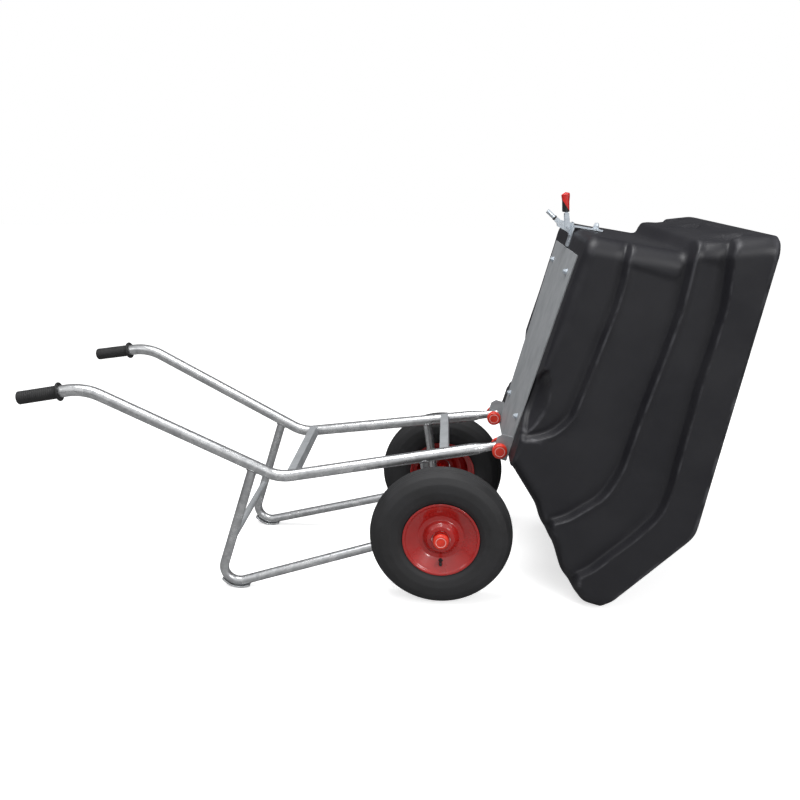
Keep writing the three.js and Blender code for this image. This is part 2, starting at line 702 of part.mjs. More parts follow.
// ---- pivot bolts, spacers, nuts and caps ----
for (const [name, side] of SIDES) {
  const at = new THREE.Group();
  at.position.copy(pivot);
  if (side < 0) at.rotation.z = Math.PI; // along +Y here is outward
  frame.add(at);
  const earOuter = earInner + earThick;
  const nutLow = earOuter + GAP;
  const headHigh = headSeat - GAP;
  const shank = bar(boltRadius, headHigh - 1, nutLow + nutHeight + 2, 16);
  const head = bar(nutRadius, headHigh - 8, headHigh, 6);
  piece(`pivot_bolt_${name}`, join(shank, head), zinc, at);
  const hole = boltRadius + GAP;
  piece(`pivot_spacer_${name}`, ring(hole, 12, boltSeat + GAP, earInner - GAP, 16), blackRubber, at);
  piece(`pivot_nut_${name}`, flangeNut(hole, nutRadius, 12.5, nutLow, nutHeight + 2), zinc, at);
  // caps over the nut and over the bolt head, domed cups with their mouths towards the cart
  const cup = (mouth, way) => {
    const inner = capRadius - capWall;
    const y = (depth) => mouth + way * depth;
    return turned([
      [inner, y(0)], [capRadius, y(0)], [capRadius, y(capLength - 5)],
      [capRadius - 3.5, y(capLength - 1)], [0, y(capLength)], [0, y(capLength - capWall)],
      [inner, y(capLength - capWall - 2)], [inner, y(0)],
    ], 16);
  };
  piece(`pivot_cap_outer_${name}`, cup(earOuter + GAP, 1), redPlastic, at);
  piece(`pivot_cap_inner_${name}`, cup(headSeat - 4.5, -1), redPlastic, at);
}

// ---- plate bolts: domed head inside the tub, washer and nut under the plate ----
const plateNutHeight = 8;
const headSpot = baseUp + tubWall + GAP;
const studEnd = plateRest - GAP - plateNutHeight - 3;
const studBolt = () => turned([
  [0, studEnd], [plateBoltRadius, studEnd], [plateBoltRadius, headSpot], [9, headSpot],
  [7.5, headSpot + 3], [0, headSpot + 4.5],
], 14).rotateX(Math.PI / 2);
const studNut = (top) =>
  flangeNut(holeRadius, 7.5, 9, 0, plateNutHeight).rotateX(-Math.PI / 2).translate(0, 0, top);
for (const [name, behind, y] of plateSpots) {
  const at = new THREE.Group();
  at.position.set(-behind, y, 0);
  tubGroup.add(at);
  piece(`plate_bolt_${name}`, studBolt(), zinc, at);
  piece(`plate_nut_${name}`, studNut(plateRest - GAP), zinc, at);
}

// ---- latch bracket round the tub's rear bottom edge ----
const bracketLow = baseUp - GAP - bracketThick;
const wallOut = (up, out) => [-(rearLower(up)[0] + out / Math.cos(wallTilt)), up];
const bracket = plateXZ([
  [-bracketFrom, bracketLow + bracketThick], wallOut(bracketLow + bracketThick, GAP),
  wallOut(bracketUp, GAP), wallOut(bracketUp, GAP + bracketThick),
  wallOut(bracketLow + 6, GAP + bracketThick), [-(bottomBehind - 1), bracketLow],
  [-bracketFrom, bracketLow],
], -bracketWidth / 2, bracketWidth / 2);
piece("latch_bracket", cut(bracket, wallHole), zinc, tubGroup);

const wallBoltGroup = new THREE.Group();
wallBoltGroup.position.set(-wallSpot[0], 0, wallSpot[1]);
wallBoltGroup.rotation.y = wallTurn;
tubGroup.add(wallBoltGroup);
const outFace = GAP + bracketThick;
const wallBolt = turned([
  [0, -tubWall - GAP - 4.5], [7.5, -tubWall - GAP - 3], [9, -tubWall - GAP], [4, -tubWall - GAP],
  [4, outFace + 14], [0, outFace + 14],
], 14).rotateX(Math.PI / 2);
piece("bracket_bolt", wallBolt, zinc, wallBoltGroup);
const domeNut = turned([
  [holeRadius, 0], [10, 0], [10, 1.6], [7.5, 1.6], [7.5, 9], [5.8, 15], [0, 17.5], [0, 15],
  [holeRadius, 15], [holeRadius, 0],
], 12).rotateX(Math.PI / 2).translate(0, 0, outFace + GAP);
piece("bracket_dome_nut", domeNut, zinc, wallBoltGroup);

// ---- toggle clamp under the bracket: fixed base, hook arm and handle ----
const [armBehind, armUp] = clampArmAt;
const [handleBehind, handleUp] = clampHandleAt;
const baseTop = bracketLow - GAP;
const footPlate = plateXZ([
  [-649, baseTop], [-612, baseTop], [-612, baseTop - 3], [-649, baseTop - 3],
], -16, 16);
const cheekOutline = [
  [-646, baseTop - 1], [-615, baseTop - 1], [-620, handleUp], [-626, armUp - 6],
  [-632, armUp - 9], [-640, armUp - 9], [-645, armUp - 4],
];
const cheeks = [-cheekInner - cheekThick, cheekInner].map((low) => plateXZ(
  cheekOutline, low, low + cheekThick,
  [[-armBehind, armUp, pinRadius + GAP], [-handleBehind, handleUp, pinRadius + GAP]]));
piece("clamp_base", join(footPlate, ...cheeks), zinc, tubGroup);
const cheekHalf = cheekInner + cheekThick; // the arm's pin ends flush, so that the handle passes it
const pins = [
  ["clamp_arm_pin", armBehind, armUp, cheekHalf],
  ["clamp_handle_pin", handleBehind, handleUp, cheekHalf + leverThick + 3],
];
for (const [name, behind, up, pinHalf] of pins) {
  const pin = bar(pinRadius, -pinHalf, pinHalf, 12);
  piece(name, pin, steel, tubGroup).position.set(-behind, 0, up);
}

// Swinging parts are drawn along +X from their own pin and turned to the open position.
function swinging(behind, up, degrees) {
  const at = new THREE.Group();
  at.position.set(-behind, 0, up);
  at.rotation.y = rad(degrees);
  tubGroup.add(at);
  return at;
}
const arm = swinging(armBehind, armUp, armOpen);
const armHalf = cheekInner - GAP - 0.2;
const armBar = plateXZ([
  [-6, -5], [-3, -7], [rodFrom - 6, -7], [rodFrom, -5], [rodFrom, 5], [rodFrom - 6, 7], [-3, 7],
  [-6, 5],
], -armHalf, armHalf, [[0, 0, pinRadius + GAP]]);
const neck = bar(3.5, rodFrom - 1, rodFrom + 6, 12).rotateZ(-Math.PI / 2);
const rod = bar(rodRadius, rodFrom + 5, armLength, 16).rotateZ(-Math.PI / 2);
piece("clamp_arm", join(armBar, neck, rod), zinc, arm);
const collar = ring(3.5 + GAP, 7.2, rodFrom + GAP, rodFrom + 5 - GAP, 20).rotateZ(-Math.PI / 2);
piece("clamp_arm_ring", collar, blackRubber, arm);

const handle = swinging(handleBehind, handleUp, handleOpen);
const forkLow = cheekInner + cheekThick + GAP;
const forkOutline = [[-7, -5], [-5, -7], [5, -7], [38, -6], [38, 6], [5, 7], [-5, 7], [-7, 5]];
const forks = [forkLow, -forkLow - leverThick].map((low) =>
  plateXZ(forkOutline, low, low + leverThick, [[0, 0, pinRadius + GAP]]));
const stemHalf = forkLow + leverThick;
const yoke = plateXZ([[34, -6], [39, -6], [39, 6], [34, 6]], -stemHalf, stemHalf);
const stem = plateXZ([[38, -4], [gripTo - 8, -4], [gripTo - 8, 4], [38, 4]], -2.5, 2.5);
piece("clamp_handle", join(...forks, yoke, stem), zinc, handle);
const gripBody = plateXZ([
  [gripFrom, -8], [gripTo - 18, -9], [gripTo - 3, -4], [gripTo, 3], [gripTo - 4, 10],
  [gripTo - 16, 9], [gripFrom, 8],
], -8.5, 8.5);
const socket = plateXZ([
  [gripFrom - 5, -4 - GAP], [gripTo - 8 + GAP, -4 - GAP], [gripTo - 8 + GAP, 4 + GAP],
  [gripFrom - 5, 4 + GAP],
], -2.5 - GAP, 2.5 + GAP);
piece("clamp_grip", cut(gripBody, socket), redPlastic, handle);

// ---- origin: middle of the bounding box, on the ground ----
cart.updateMatrixWorld(true);
const bounds = new THREE.Box3().setFromObject(cart, true);
const centre = bounds.getCenter(new THREE.Vector3());
cart.position.set(-centre.x, -centre.y, -bounds.min.z);

export default cart;
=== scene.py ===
# A garden cart with two pneumatic wheels and a moulded tub that tips forward over its axle.
# The tub is shown tipped, nose on the ground, with the toggle clamp that locks it standing open.
import math

import bmesh
import bpy
import numpy as np
from mathutils import Matrix, Vector


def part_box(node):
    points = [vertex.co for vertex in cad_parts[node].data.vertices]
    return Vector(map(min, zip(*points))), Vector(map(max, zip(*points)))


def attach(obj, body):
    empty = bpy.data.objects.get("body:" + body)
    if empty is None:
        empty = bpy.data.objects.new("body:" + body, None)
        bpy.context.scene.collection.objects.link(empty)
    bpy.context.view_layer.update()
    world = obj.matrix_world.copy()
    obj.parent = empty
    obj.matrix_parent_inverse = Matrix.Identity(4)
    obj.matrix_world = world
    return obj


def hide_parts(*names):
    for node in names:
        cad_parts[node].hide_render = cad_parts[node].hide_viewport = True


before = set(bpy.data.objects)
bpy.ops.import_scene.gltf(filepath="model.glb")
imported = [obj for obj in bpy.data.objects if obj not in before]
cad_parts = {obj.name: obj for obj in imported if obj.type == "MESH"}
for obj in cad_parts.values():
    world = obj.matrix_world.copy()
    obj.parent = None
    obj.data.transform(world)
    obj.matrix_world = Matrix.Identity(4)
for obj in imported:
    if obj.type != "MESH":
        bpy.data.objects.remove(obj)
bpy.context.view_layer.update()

# ---- studio: a pale floor, soft light from above and the front, and the camera ----
# The floor is a wide matt sheet. The camera stands to the cart's right, level with the axle along
# it and about 1.2 m up, and looks slightly down on it.
wheel_low, wheel_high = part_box("tyre_right")
AXLE_X = (wheel_low.x + wheel_high.x) / 2
FLOOR_REACH = 14
FLOOR_WHITE, FLOOR_DIM, FLOOR_GLOW = 0.93, 0.26, 0.64
SKY_DIM, SKY_BRIGHT, SKY_TOWARD = (0.1, 0.1, 0.105), (0.8, 0.8, 0.8), (0, -0.6, 0.75)


def shader(name, base, roughness, metallic=0.0):
    """A material with one Principled shader, and its nodes and links for adding detail."""
    material = bpy.data.materials.new(name)
    material.use_nodes = True
    nodes, links = material.node_tree.nodes, material.node_tree.links
    surface = nodes["Principled BSDF"]
    surface.inputs["Base Color"].default_value = (*base, 1)
    surface.inputs["Roughness"].default_value = roughness
    surface.inputs["Metallic"].default_value = metallic
    return material, nodes, links, surface


floor_mesh = bpy.data.meshes.new("studio_floor")
floor_corners = [(x * FLOOR_REACH, y * FLOOR_REACH, 0) for x, y in ((-1, -1), (1, -1), (1, 1), (-1, 1))]
floor_mesh.from_pydata(floor_corners, [], [(0, 1, 2, 3)])
floor = bpy.data.objects.new("studio_floor", floor_mesh)
bpy.context.scene.collection.objects.link(floor)
floor_paint, floor_nodes, floor_links, floor_surface = shader(
    "studio_floor", (FLOOR_WHITE,) * 3, 0.75)
floor_mesh.materials.append(floor_paint)
floor_surface.inputs["Emission Color"].default_value = (1, 1, 1, 1)
floor_surface.inputs["Emission Strength"].default_value = FLOOR_GLOW
# seen directly the floor is white, but the cart mirrors and catches only a dim part of it
seen, floor_mix, glow_mix = (floor_nodes.new(kind) for kind in (
    "ShaderNodeLightPath", "ShaderNodeMix", "ShaderNodeMix"))
for mix, dim, full, socket in ((floor_mix, FLOOR_DIM, FLOOR_WHITE, "Base Color"),
                               (glow_mix, 0.0, 1.0, "Emission Color")):
    mix.data_type = "RGBA"
    mix.inputs[6].default_value = (dim, dim, dim, 1)
    mix.inputs[7].default_value = (full, full, full, 1)
    floor_links.new(seen.outputs["Is Camera Ray"], mix.inputs["Factor"])
    floor_links.new(mix.outputs[2], floor_surface.inputs[socket])

world = bpy.data.worlds.new("studio")
bpy.context.scene.world = world
world.use_nodes = True
sky_nodes, sky_links = world.node_tree.nodes, world.node_tree.links
facing, toward, sky = (sky_nodes.new(kind) for kind in (
    "ShaderNodeTexCoord", "ShaderNodeVectorMath", "ShaderNodeValToRGB"))
toward.operation = "DOT_PRODUCT"
toward.inputs[1].default_value = SKY_TOWARD  # the sky is brightest above and in front
sky_links.new(facing.outputs["Generated"], toward.inputs[0])
sky_links.new(toward.outputs["Value"], sky.inputs["Fac"])
sky.color_ramp.elements[0].color = (*SKY_DIM, 1)
sky.color_ramp.elements[1].color = (*SKY_BRIGHT, 1)
sky.color_ramp.elements[0].position = 0.2
sky.color_ramp.elements[1].position = 0.85
backdrop, chosen = sky_nodes.new("ShaderNodeMix"), sky_nodes.new("ShaderNodeLightPath")
backdrop.data_type = "RGBA"
sky_links.new(chosen.outputs["Is Camera Ray"], backdrop.inputs["Factor"])
sky_links.new(sky.outputs["Color"], backdrop.inputs[6])
backdrop.inputs[7].default_value = (1, 1, 1, 1)
sky_links.new(backdrop.outputs[2], sky_nodes["Background"].inputs["Color"])
sky_nodes["Background"].inputs["Strength"].default_value = 1.0
bpy.context.scene.view_settings.view_transform = "Standard"


def soft_light(name, place, target, size, power):
    """A square lamp at a place, turned so that it faces a target."""
    lamp = bpy.data.lights.new(name, "AREA")
    lamp.size = size
    lamp.energy = power
    holder = bpy.data.objects.new(name, lamp)
    bpy.context.scene.collection.objects.link(holder)
    holder.location = place
    holder.rotation_euler = (Vector(target) - Vector(place)).to_track_quat("-Z", "Y").to_euler()


soft_light("lamp_top", (-0.2, -0.6, 3.6), (0.1, 0, 0.4), 1.8, 90)
soft_light("lamp_left", (-2.8, -2.2, 2.2), (0.2, 0, 0.5), 1.0, 7)
soft_light("lamp_right", (2.4, -2.9, 2.0), (0.4, 0, 0.5), 1.1, 44)

CAMERA_PLACE = Vector((AXLE_X + 0.003073, -2.458445, 1.203752))
CAMERA_LENS, CAMERA_SENSOR = 38.25, 36
CAMERA_YAW, CAMERA_PITCH, CAMERA_ROLL = (math.radians(a) for a in (-3.117, 15.619, 0.209))
ahead = Vector((
    math.sin(CAMERA_YAW) * math.cos(CAMERA_PITCH), math.cos(CAMERA_YAW) * math.cos(CAMERA_PITCH),
    -math.sin(CAMERA_PITCH)))
level = Vector((math.cos(CAMERA_YAW), -math.sin(CAMERA_YAW), 0))
right = level * math.cos(CAMERA_ROLL) + level.cross(ahead) * math.sin(CAMERA_ROLL)
camera_data = bpy.data.cameras.new("camera")
camera_data.sensor_width = CAMERA_SENSOR
camera_data.lens = CAMERA_LENS
camera = bpy.data.objects.new("camera", camera_data)
bpy.context.scene.collection.objects.link(camera)
turn = Matrix((right, right.cross(ahead), -ahead)).transposed().to_4x4()
camera.matrix_world = Matrix.Translation(CAMERA_PLACE) @ turn
bpy.context.scene.camera = camera

# ---- moulded tub ----
# A one-piece polyethylene tub, rotationally moulded with a wall of about 6 mm. Its sides step out
# in tiers along soft grooves, drums are let in over the wheels, and its front wall is a pouring nose.
MM = 0.001
TIP = math.radians(105.5)
PIVOT_X = AXLE_X + 0.160
PIVOT_Z = 0.4245
TUB_WALL = 6
FLOOR_UP = 27.9  # pivot axis to the tub's underside


def eased(x, low, high):
    """Runs smoothly from 0 at low to 1 at high: 3t^2 - 2t^3 of the share t between them."""
    t = np.clip((x - low) / (high - low), 0, 1)
    return t * t * (3 - 2 * t)


def in_cart(behind, y, up):
    """Turns places in the tub (behind the pivot, across, above the pivot) by the tipping angle about
    the pivot axis, and gives them in the cart's frame in metres."""
    x = PIVOT_X + (-behind * math.cos(TIP) + up * math.sin(TIP)) * MM
    z = PIVOT_Z + (behind * math.sin(TIP) + up * math.cos(TIP)) * MM
    return np.stack(np.broadcast_arrays(x, y * MM, z), axis=-1)


def sheet_mesh(name, grid, loop_rows=False, loop_columns=False, crease=35):
    """A mesh from a grid of places: each cell is one face. Rows or columns may close on themselves,
    doubled points at poles are merged, faces are turned outwards, and edges sharper than the
    crease angle stay sharp."""
    rows, columns = grid.shape[:2]
    index = np.arange(rows * columns).reshape(rows, columns)
    if loop_rows:
        index = np.vstack([index, index[:1]])
    if loop_columns:
        index = np.hstack([index, index[:, :1]])
    cells = np.stack([index[:-1, :-1], index[1:, :-1], index[1:, 1:], index[:-1, 1:]], axis=-1)
    mesh = bpy.data.meshes.new(name)
    mesh.from_pydata(grid.reshape(-1, 3).tolist(), [], cells.reshape(-1, 4).tolist())
    shape = bmesh.new()
    shape.from_mesh(mesh)
    bmesh.ops.remove_doubles(shape, verts=shape.verts, dist=2e-6)
    bmesh.ops.recalc_face_normals(shape, faces=shape.faces)
    shape.to_mesh(mesh)
    shape.free()
    mesh.shade_smooth()
    mesh.set_sharp_from_angle(angle=math.radians(crease))
    return mesh


def place_piece(name, mesh, body, stands_for, material):
    """Adds a piece made of that mesh to the cart, riding on a body in place of its plain solids."""
    mesh.materials.append(material)
    piece = bpy.data.objects.new(name, mesh)
    bpy.context.scene.collection.objects.link(piece)
    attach(piece, body)
    if stands_for:
        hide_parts(*stands_for)
    return piece


def soft_line(points, reach):
    """A line through points, [behind, up] pairs, averaged over a Gaussian of that reach so that its
    corners are round. Returned as a fine table for np.interp."""
    points = np.array(sorted(points), float)
    at = np.arange(points[0, 0] - 200, points[-1, 0] + 200, 4.0)
    up = np.interp(at, points[:, 0], points[:, 1])
    steps = np.arange(-3 * reach, 3 * reach + 4, 4.0)
    weight = np.exp(-0.5 * (steps / reach) ** 2)
    padded = np.pad(up, len(steps) // 2, mode="edge")
    return at, np.convolve(padded, weight / weight.sum(), mode="same")[len(steps) // 2:][:len(up)]


# Grooves along the sides and the rim as (behind, up), and walls at the two ends as (up, behind).
GROOVE_LOW = soft_line([
    (66, 5), (80, 48), (92, 72), (111, 101), (141, 123), (175, 138), (346, 142), (486, 144), (559, 139),
    (635, 125), (700, 112)], 8)
GROOVE_MIDDLE = soft_line([
    (-150, 150), (-125, 182), (-100, 218), (-58, 251), (-23, 279), (12, 293), (49, 300), (85, 304),
    (217, 299), (445, 294), (527, 291), (604, 281), (652, 273), (720, 262)], 9)
GROOVE_HIGH = soft_line([
    (-280, 262), (-255, 292), (-218, 326), (-163, 357), (-106, 391), (-53, 418), (-13, 434), (20, 439),
    (71, 437), (199, 420), (353, 400), (502, 387), (566, 381), (646, 361), (691, 347), (740, 330)], 9)
REAR_WALL = soft_line([
    (28, 637), (33, 637), (106, 644), (165, 651), (255, 661), (262, 666), (273, 697), (300, 708),
    (420, 756), (440, 759)], 4)
FRONT_WALL = soft_line([
    (28, -6), (131, -102), (156, -142), (209, -191), (256, -264), (338, -329), (352, -331), (420, -331)], 7)
RIM_LINE = soft_line([(-338, 389.4), (-37.5, 550.2), (745, 450)], 16)
TIER_HALVES = (301, 26, 30, 32)  # half width of the lowest tier, then how far each next one steps out
TAPER = 0.0773
CORNER = 46
ARCH_BEHIND, ARCH_BELOW, ARCH_HALF = 182, 112, 190
ARCH_FROM, ARCH_TO, ARCH_RUN_OUT = 152, 230, 300  # where the drum's round end fades into the side
STEP = 7
GROOVE_DEEP, LOW_PANEL_DEEP, HIGH_PANEL_DEEP = 2.5, 5, 4
LIP = 7  # radius of the rolled rim
HOLLOW_DEEP, HOLLOW_FROM, HOLLOW_TO, HOLLOW_HALF = 17, 292, 394, 338
WEDGE_FROM, WEDGE_TO = 98, 272
SPINE_FRONT, SPINE_REAR = 80, 560


def under_edge(behind):
    """Radius of the rounded bottom edge: small where the nose wall meets the floor, large elsewhere."""
    over_wheel = eased(behind, 20, 110) * eased(-behind, -430, -270)
    return 9 + 25 * eased(behind, 10, 90) - 20 * over_wheel - 6 * eased(behind, 560, 600)


def tub_half(behind, up):
    """Half width of the tub: tiers added up along the grooves, narrowed towards the nose, with a
    shallow panel pressed in between the grooves and a round drum let in over each wheel."""
    half = np.full(np.broadcast(behind, up).shape, float(TIER_HALVES[0]))
    grooves = [np.interp(behind, *g) for g in (GROOVE_LOW, GROOVE_MIDDLE, GROOVE_HIGH)]
    slopes = [np.interp(behind, at, np.gradient(ups, at))
              for at, ups in (GROOVE_LOW, GROOVE_MIDDLE, GROOVE_HIGH)]
    for groove, slope, out in zip(grooves, slopes, TIER_HALVES[1:]):
        widened = np.minimum(np.hypot(1, slope), 4)
        half = half + out * eased(up, groove - STEP * widened, groove + STEP * widened)
        half = half - GROOVE_DEEP * np.exp(-((up - groove + 11 * widened) / (9 * widened)) ** 2)
    low, middle, high = grooves
    panel = eased(up, low + 6, low + 22) * eased(-up, -middle + 8, -middle + 26)
    half = half - LOW_PANEL_DEEP * panel * eased(-behind, -600, -590) * eased(behind, 60, 170)
    panel = eased(up, middle + 8, middle + 24) * eased(-up, -high + 6, -high + 22)
    half = half - HIGH_PANEL_DEEP * panel * eased(-behind, -668, -654) * eased(behind, -150, -40)
    half = half * (1 - TAPER * (700 - behind) / 389)
    reach = np.hypot(behind - ARCH_BEHIND, up + ARCH_BELOW)
    drum = ARCH_HALF + ARCH_RUN_OUT * eased(reach, ARCH_FROM, ARCH_TO)
    blend = 7.0
    return -blend * np.logaddexp(-half / blend, -drum / blend)


def climbing_rows():
    """Rows from the bottom edge to the rim. Each is a share of the way between two of five lines (edge,
    the three grooves, rim), shifted off them, with rows packed close on both sides of a groove."""
    near = np.array([-14, -10.5, -7.5, -5, -2.5, 0, 2.5, 5, 7.5, 10.5, 14])
    rows = []
    for line, count in enumerate((15, 14, 11, 12)):
        low = 0 if line == 0 else 14
        high = 0 if line == 3 else -14
        inner = np.linspace(0, 1, count + 2)
        inner = inner[:-1] if line < 3 else inner
        inner = inner if line == 0 else inner[1:]
        rows += [(line, low, line + 1, high, s) for s in inner]
        if line < 3:
            rows += [(line + 1, shift, line + 1, shift, 0) for shift in near]
    return np.array(rows)


def tub_skin(side_cells, end_cells, corner_cells):
    """The outer skin above the bottom edge as a grid: rows climb to the rim along the grooves, and
    columns run once round a rectangle with rounded corners."""
    quarter = np.linspace(0, math.pi / 2, corner_cells + 1)[:-1]
    along_side = np.linspace(0, 1, side_cells + 1)[:-1]
    across = np.linspace(-1, 1, end_cells + 1)[:-1]
    part = np.concatenate([np.full(n, k) for k, n in enumerate(
        [end_cells, corner_cells, side_cells, corner_cells] * 2)])[None, :]
    t = np.concatenate([across, quarter, along_side, quarter] * 2)[None, :]
    is_rear, is_front, is_side = part == 0, part == 4, (part == 2) | (part == 6)
    at_rear, at_front = (part == 1) | (part == 7), (part == 3) | (part == 5)
    sign = np.where(part < 4, 1, -1)
    from_rear = np.where(part == 1, t, math.pi / 2 - t)
    from_side = np.where(part == 3, t, math.pi / 2 - t)
    rows = climbing_rows()
    first, first_shift, second, second_shift, share = (rows[:, k:k + 1] for k in range(5))
    first, second = first.astype(int)[:, 0], second.astype(int)[:, 0]
    up = np.full((len(rows), part.shape[1]), 200.0)
    for _ in range(24):
        rear = np.interp(up, *REAR_WALL)
        front = np.interp(up, *FRONT_WALL)
        run = np.where(part == 6, 1 - t, t)
        behind = np.where(is_side, (rear - CORNER) + (front - rear + 2 * CORNER) * run, 0)
        behind = np.where(is_rear, rear, np.where(is_front, front, behind))
        behind = np.where(at_rear, rear - CORNER + CORNER * np.cos(from_rear), behind)
        behind = np.where(at_front, front + CORNER - CORNER * np.sin(from_side), behind)
        edge = FLOOR_UP + under_edge(behind)
        low = np.maximum(np.interp(behind, *GROOVE_LOW), edge + 16)
        middle = np.interp(behind, *GROOVE_MIDDLE)
        high = np.interp(behind, *GROOVE_HIGH)
        top = np.interp(behind, *RIM_LINE)
        line = np.stack([edge, low, middle, high, top])
        columns = np.arange(part.shape[1])[None, :]
        each = np.arange(len(rows))[:, None]
        below = line[first[:, None], each, columns] + first_shift
        above = line[second[:, None], each, columns] + second_shift
        up = 0.5 * up + 0.5 * (below * (1 - share) + above * share)
    anchor = np.where(at_rear | is_rear, rear - CORNER, np.where(is_side, behind, front + CORNER))
    half = tub_half(anchor, up)
    y = np.where(is_side, sign * half, 0)
    y = np.where(is_rear, (half - CORNER) * t, y)
    y = np.where(is_front, -(half - CORNER) * t, y)
    y = np.where(at_rear, sign * (half - CORNER + CORNER * np.sin(from_rear)), y)
    y = np.where(at_front, sign * (half - CORNER + CORNER * np.cos(from_side)), y)
    return behind, y, up


def drawn_in(behind, y, inset):
    """Moves places of the skin inwards, square to a rectangle with rounded corners, by an inset."""
    is_back = behind > 200
    back = behind.max(axis=1, keepdims=True) - CORNER
    front = behind.min(axis=1, keepdims=True) + CORNER
    past = np.where(is_back, np.clip(behind - back, 0, None), np.clip(front - behind, 0, None))
    core = np.where(is_back, np.abs(y[:, :1]), np.abs(y[:, FRONT_COLUMN:FRONT_COLUMN + 1]))
    out = np.where(past > 0, np.clip(np.abs(y) - core, 0, None), 1.0)
    size = np.maximum(np.hypot(past, out), 1e-6)
    toward = np.where(is_back, -1, 1)
    return behind + toward * past / size * inset, y - np.sign(y) * out / size * inset


SIDE_CELLS, END_CELLS, CORNER_CELLS = 126, 92, 9
FRONT_COLUMN = END_CELLS + 2 * CORNER_CELLS + SIDE_CELLS  # first column of the nose wall
rows_behind, rows_y, rows_up = tub_skin(SIDE_CELLS, END_CELLS, CORNER_CELLS)
# finger hollows in the upper rear wall, deeper towards the rim, with two wedges left standing
aside = np.abs(rows_y)
wedge = eased(aside, WEDGE_FROM, WEDGE_FROM + 7) * eased(-aside, -WEDGE_TO, 7 - WEDGE_TO)
hollow = np.clip((rows_up - HOLLOW_FROM) / 100, 0, 1) * (1 - wedge)
hollow = hollow * eased(-aside, -HOLLOW_HALF, 12 - HOLLOW_HALF)
hollow = hollow * eased(-rows_up, -HOLLOW_TO, 12 - HOLLOW_TO) * (rows_behind > 640)
rows_behind = rows_behind - HOLLOW_DEEP * hollow
# the lip turns in over the last few millimetres
lip_drop = np.clip(LIP - (rows_up[-1:] - rows_up), 0, LIP)
rows_behind, rows_y = drawn_in(rows_behind, rows_y, LIP - np.sqrt(LIP ** 2 - lip_drop ** 2))
# the rounded bottom edge, then the flat floor drawn together to a line along its middle
radius = rows_up[:1] - FLOOR_UP
bottom = []
for angle in np.linspace(0, math.pi / 2, 8)[1:]:
    ring_behind, ring_y = drawn_in(rows_behind[:1], rows_y[:1], radius * (1 - math.cos(angle)))
    bottom.append((ring_behind, ring_y, FLOOR_UP + radius * (1 - math.sin(angle))))
flat_behind, flat_y, flat_up = bottom[-1]
for shrink in (0.8, 0.55, 0.3, 0.1, 0.0):
    spine = np.clip(flat_behind, SPINE_FRONT, SPINE_REAR)
    bottom.append((spine + (flat_behind - spine) * shrink, flat_y * shrink, flat_up))
skin = [np.vstack([ring[k] for ring in bottom[::-1]] + [rows])
        for k, rows in enumerate((rows_behind, rows_y, rows_up))]
tub_mesh = sheet_mesh("tub_skin", in_cart(*skin), loop_columns=True, crease=60)


def weathering_group():
    """Group of nodes for any moulded, painted or plated surface: broad patches that run between two
    colours and two roughnesses, and a fine grain for its bump."""
    group = bpy.data.node_groups.new("weathering", "ShaderNodeTree")
    for name, kind in (("Vector", "Vector"), ("Patch Scale", "Float"), ("Grain Scale", "Float"),
                       ("Plain", "Color"), ("Worn", "Color"), ("Smooth", "Float"), ("Rough", "Float")):
        group.interface.new_socket(name, in_out="INPUT", socket_type="NodeSocket" + kind)
    for name, kind in (("Color", "Color"), ("Roughness", "Float"), ("Height", "Float")):
        group.interface.new_socket(name, in_out="OUTPUT", socket_type="NodeSocket" + kind)
    nodes, links = group.nodes, group.links
    given, result = nodes.new("NodeGroupInput"), nodes.new("NodeGroupOutput")
    patches, grain = nodes.new("ShaderNodeTexNoise"), nodes.new("ShaderNodeTexNoise")
    patches.inputs["Detail"].default_value = 6
    patches.inputs["Roughness"].default_value = 0.6
    grain.inputs["Detail"].default_value = 2
    spread, shine = nodes.new("ShaderNodeMapRange"), nodes.new("ShaderNodeMapRange")
    for node, low, high in ((spread, 0.36, 0.64), (shine, 0.3, 0.7)):
        node.inputs["From Min"].default_value = low
        node.inputs["From Max"].default_value = high
        links.new(patches.outputs["Fac"], node.inputs["Value"])
    blend = nodes.new("ShaderNodeMix")
    blend.data_type = "RGBA"
    links.new(given.outputs["Vector"], patches.inputs["Vector"])
    links.new(given.outputs["Vector"], grain.inputs["Vector"])
    links.new(given.outputs["Patch Scale"], patches.inputs["Scale"])
    links.new(given.outputs["Grain Scale"], grain.inputs["Scale"])
    links.new(spread.outputs["Result"], blend.inputs["Factor"])
    links.new(given.outputs["Plain"], blend.inputs[6])
    links.new(given.outputs["Worn"], blend.inputs[7])
    links.new(given.outputs["Smooth"], shine.inputs["To Min"])
    links.new(given.outputs["Rough"], shine.inputs["To Max"])
    links.new(blend.outputs[2], result.inputs["Color"])
    links.new(shine.outputs["Result"], result.inputs["Roughness"])
    links.new(grain.outputs["Fac"], result.inputs["Height"])
    return group


WEATHERING = weathering_group()


def own_places(nodes):
    """The piece's own coordinates, which patterns are laid out in."""
    return nodes.new("ShaderNodeTexCoord").outputs["Object"]


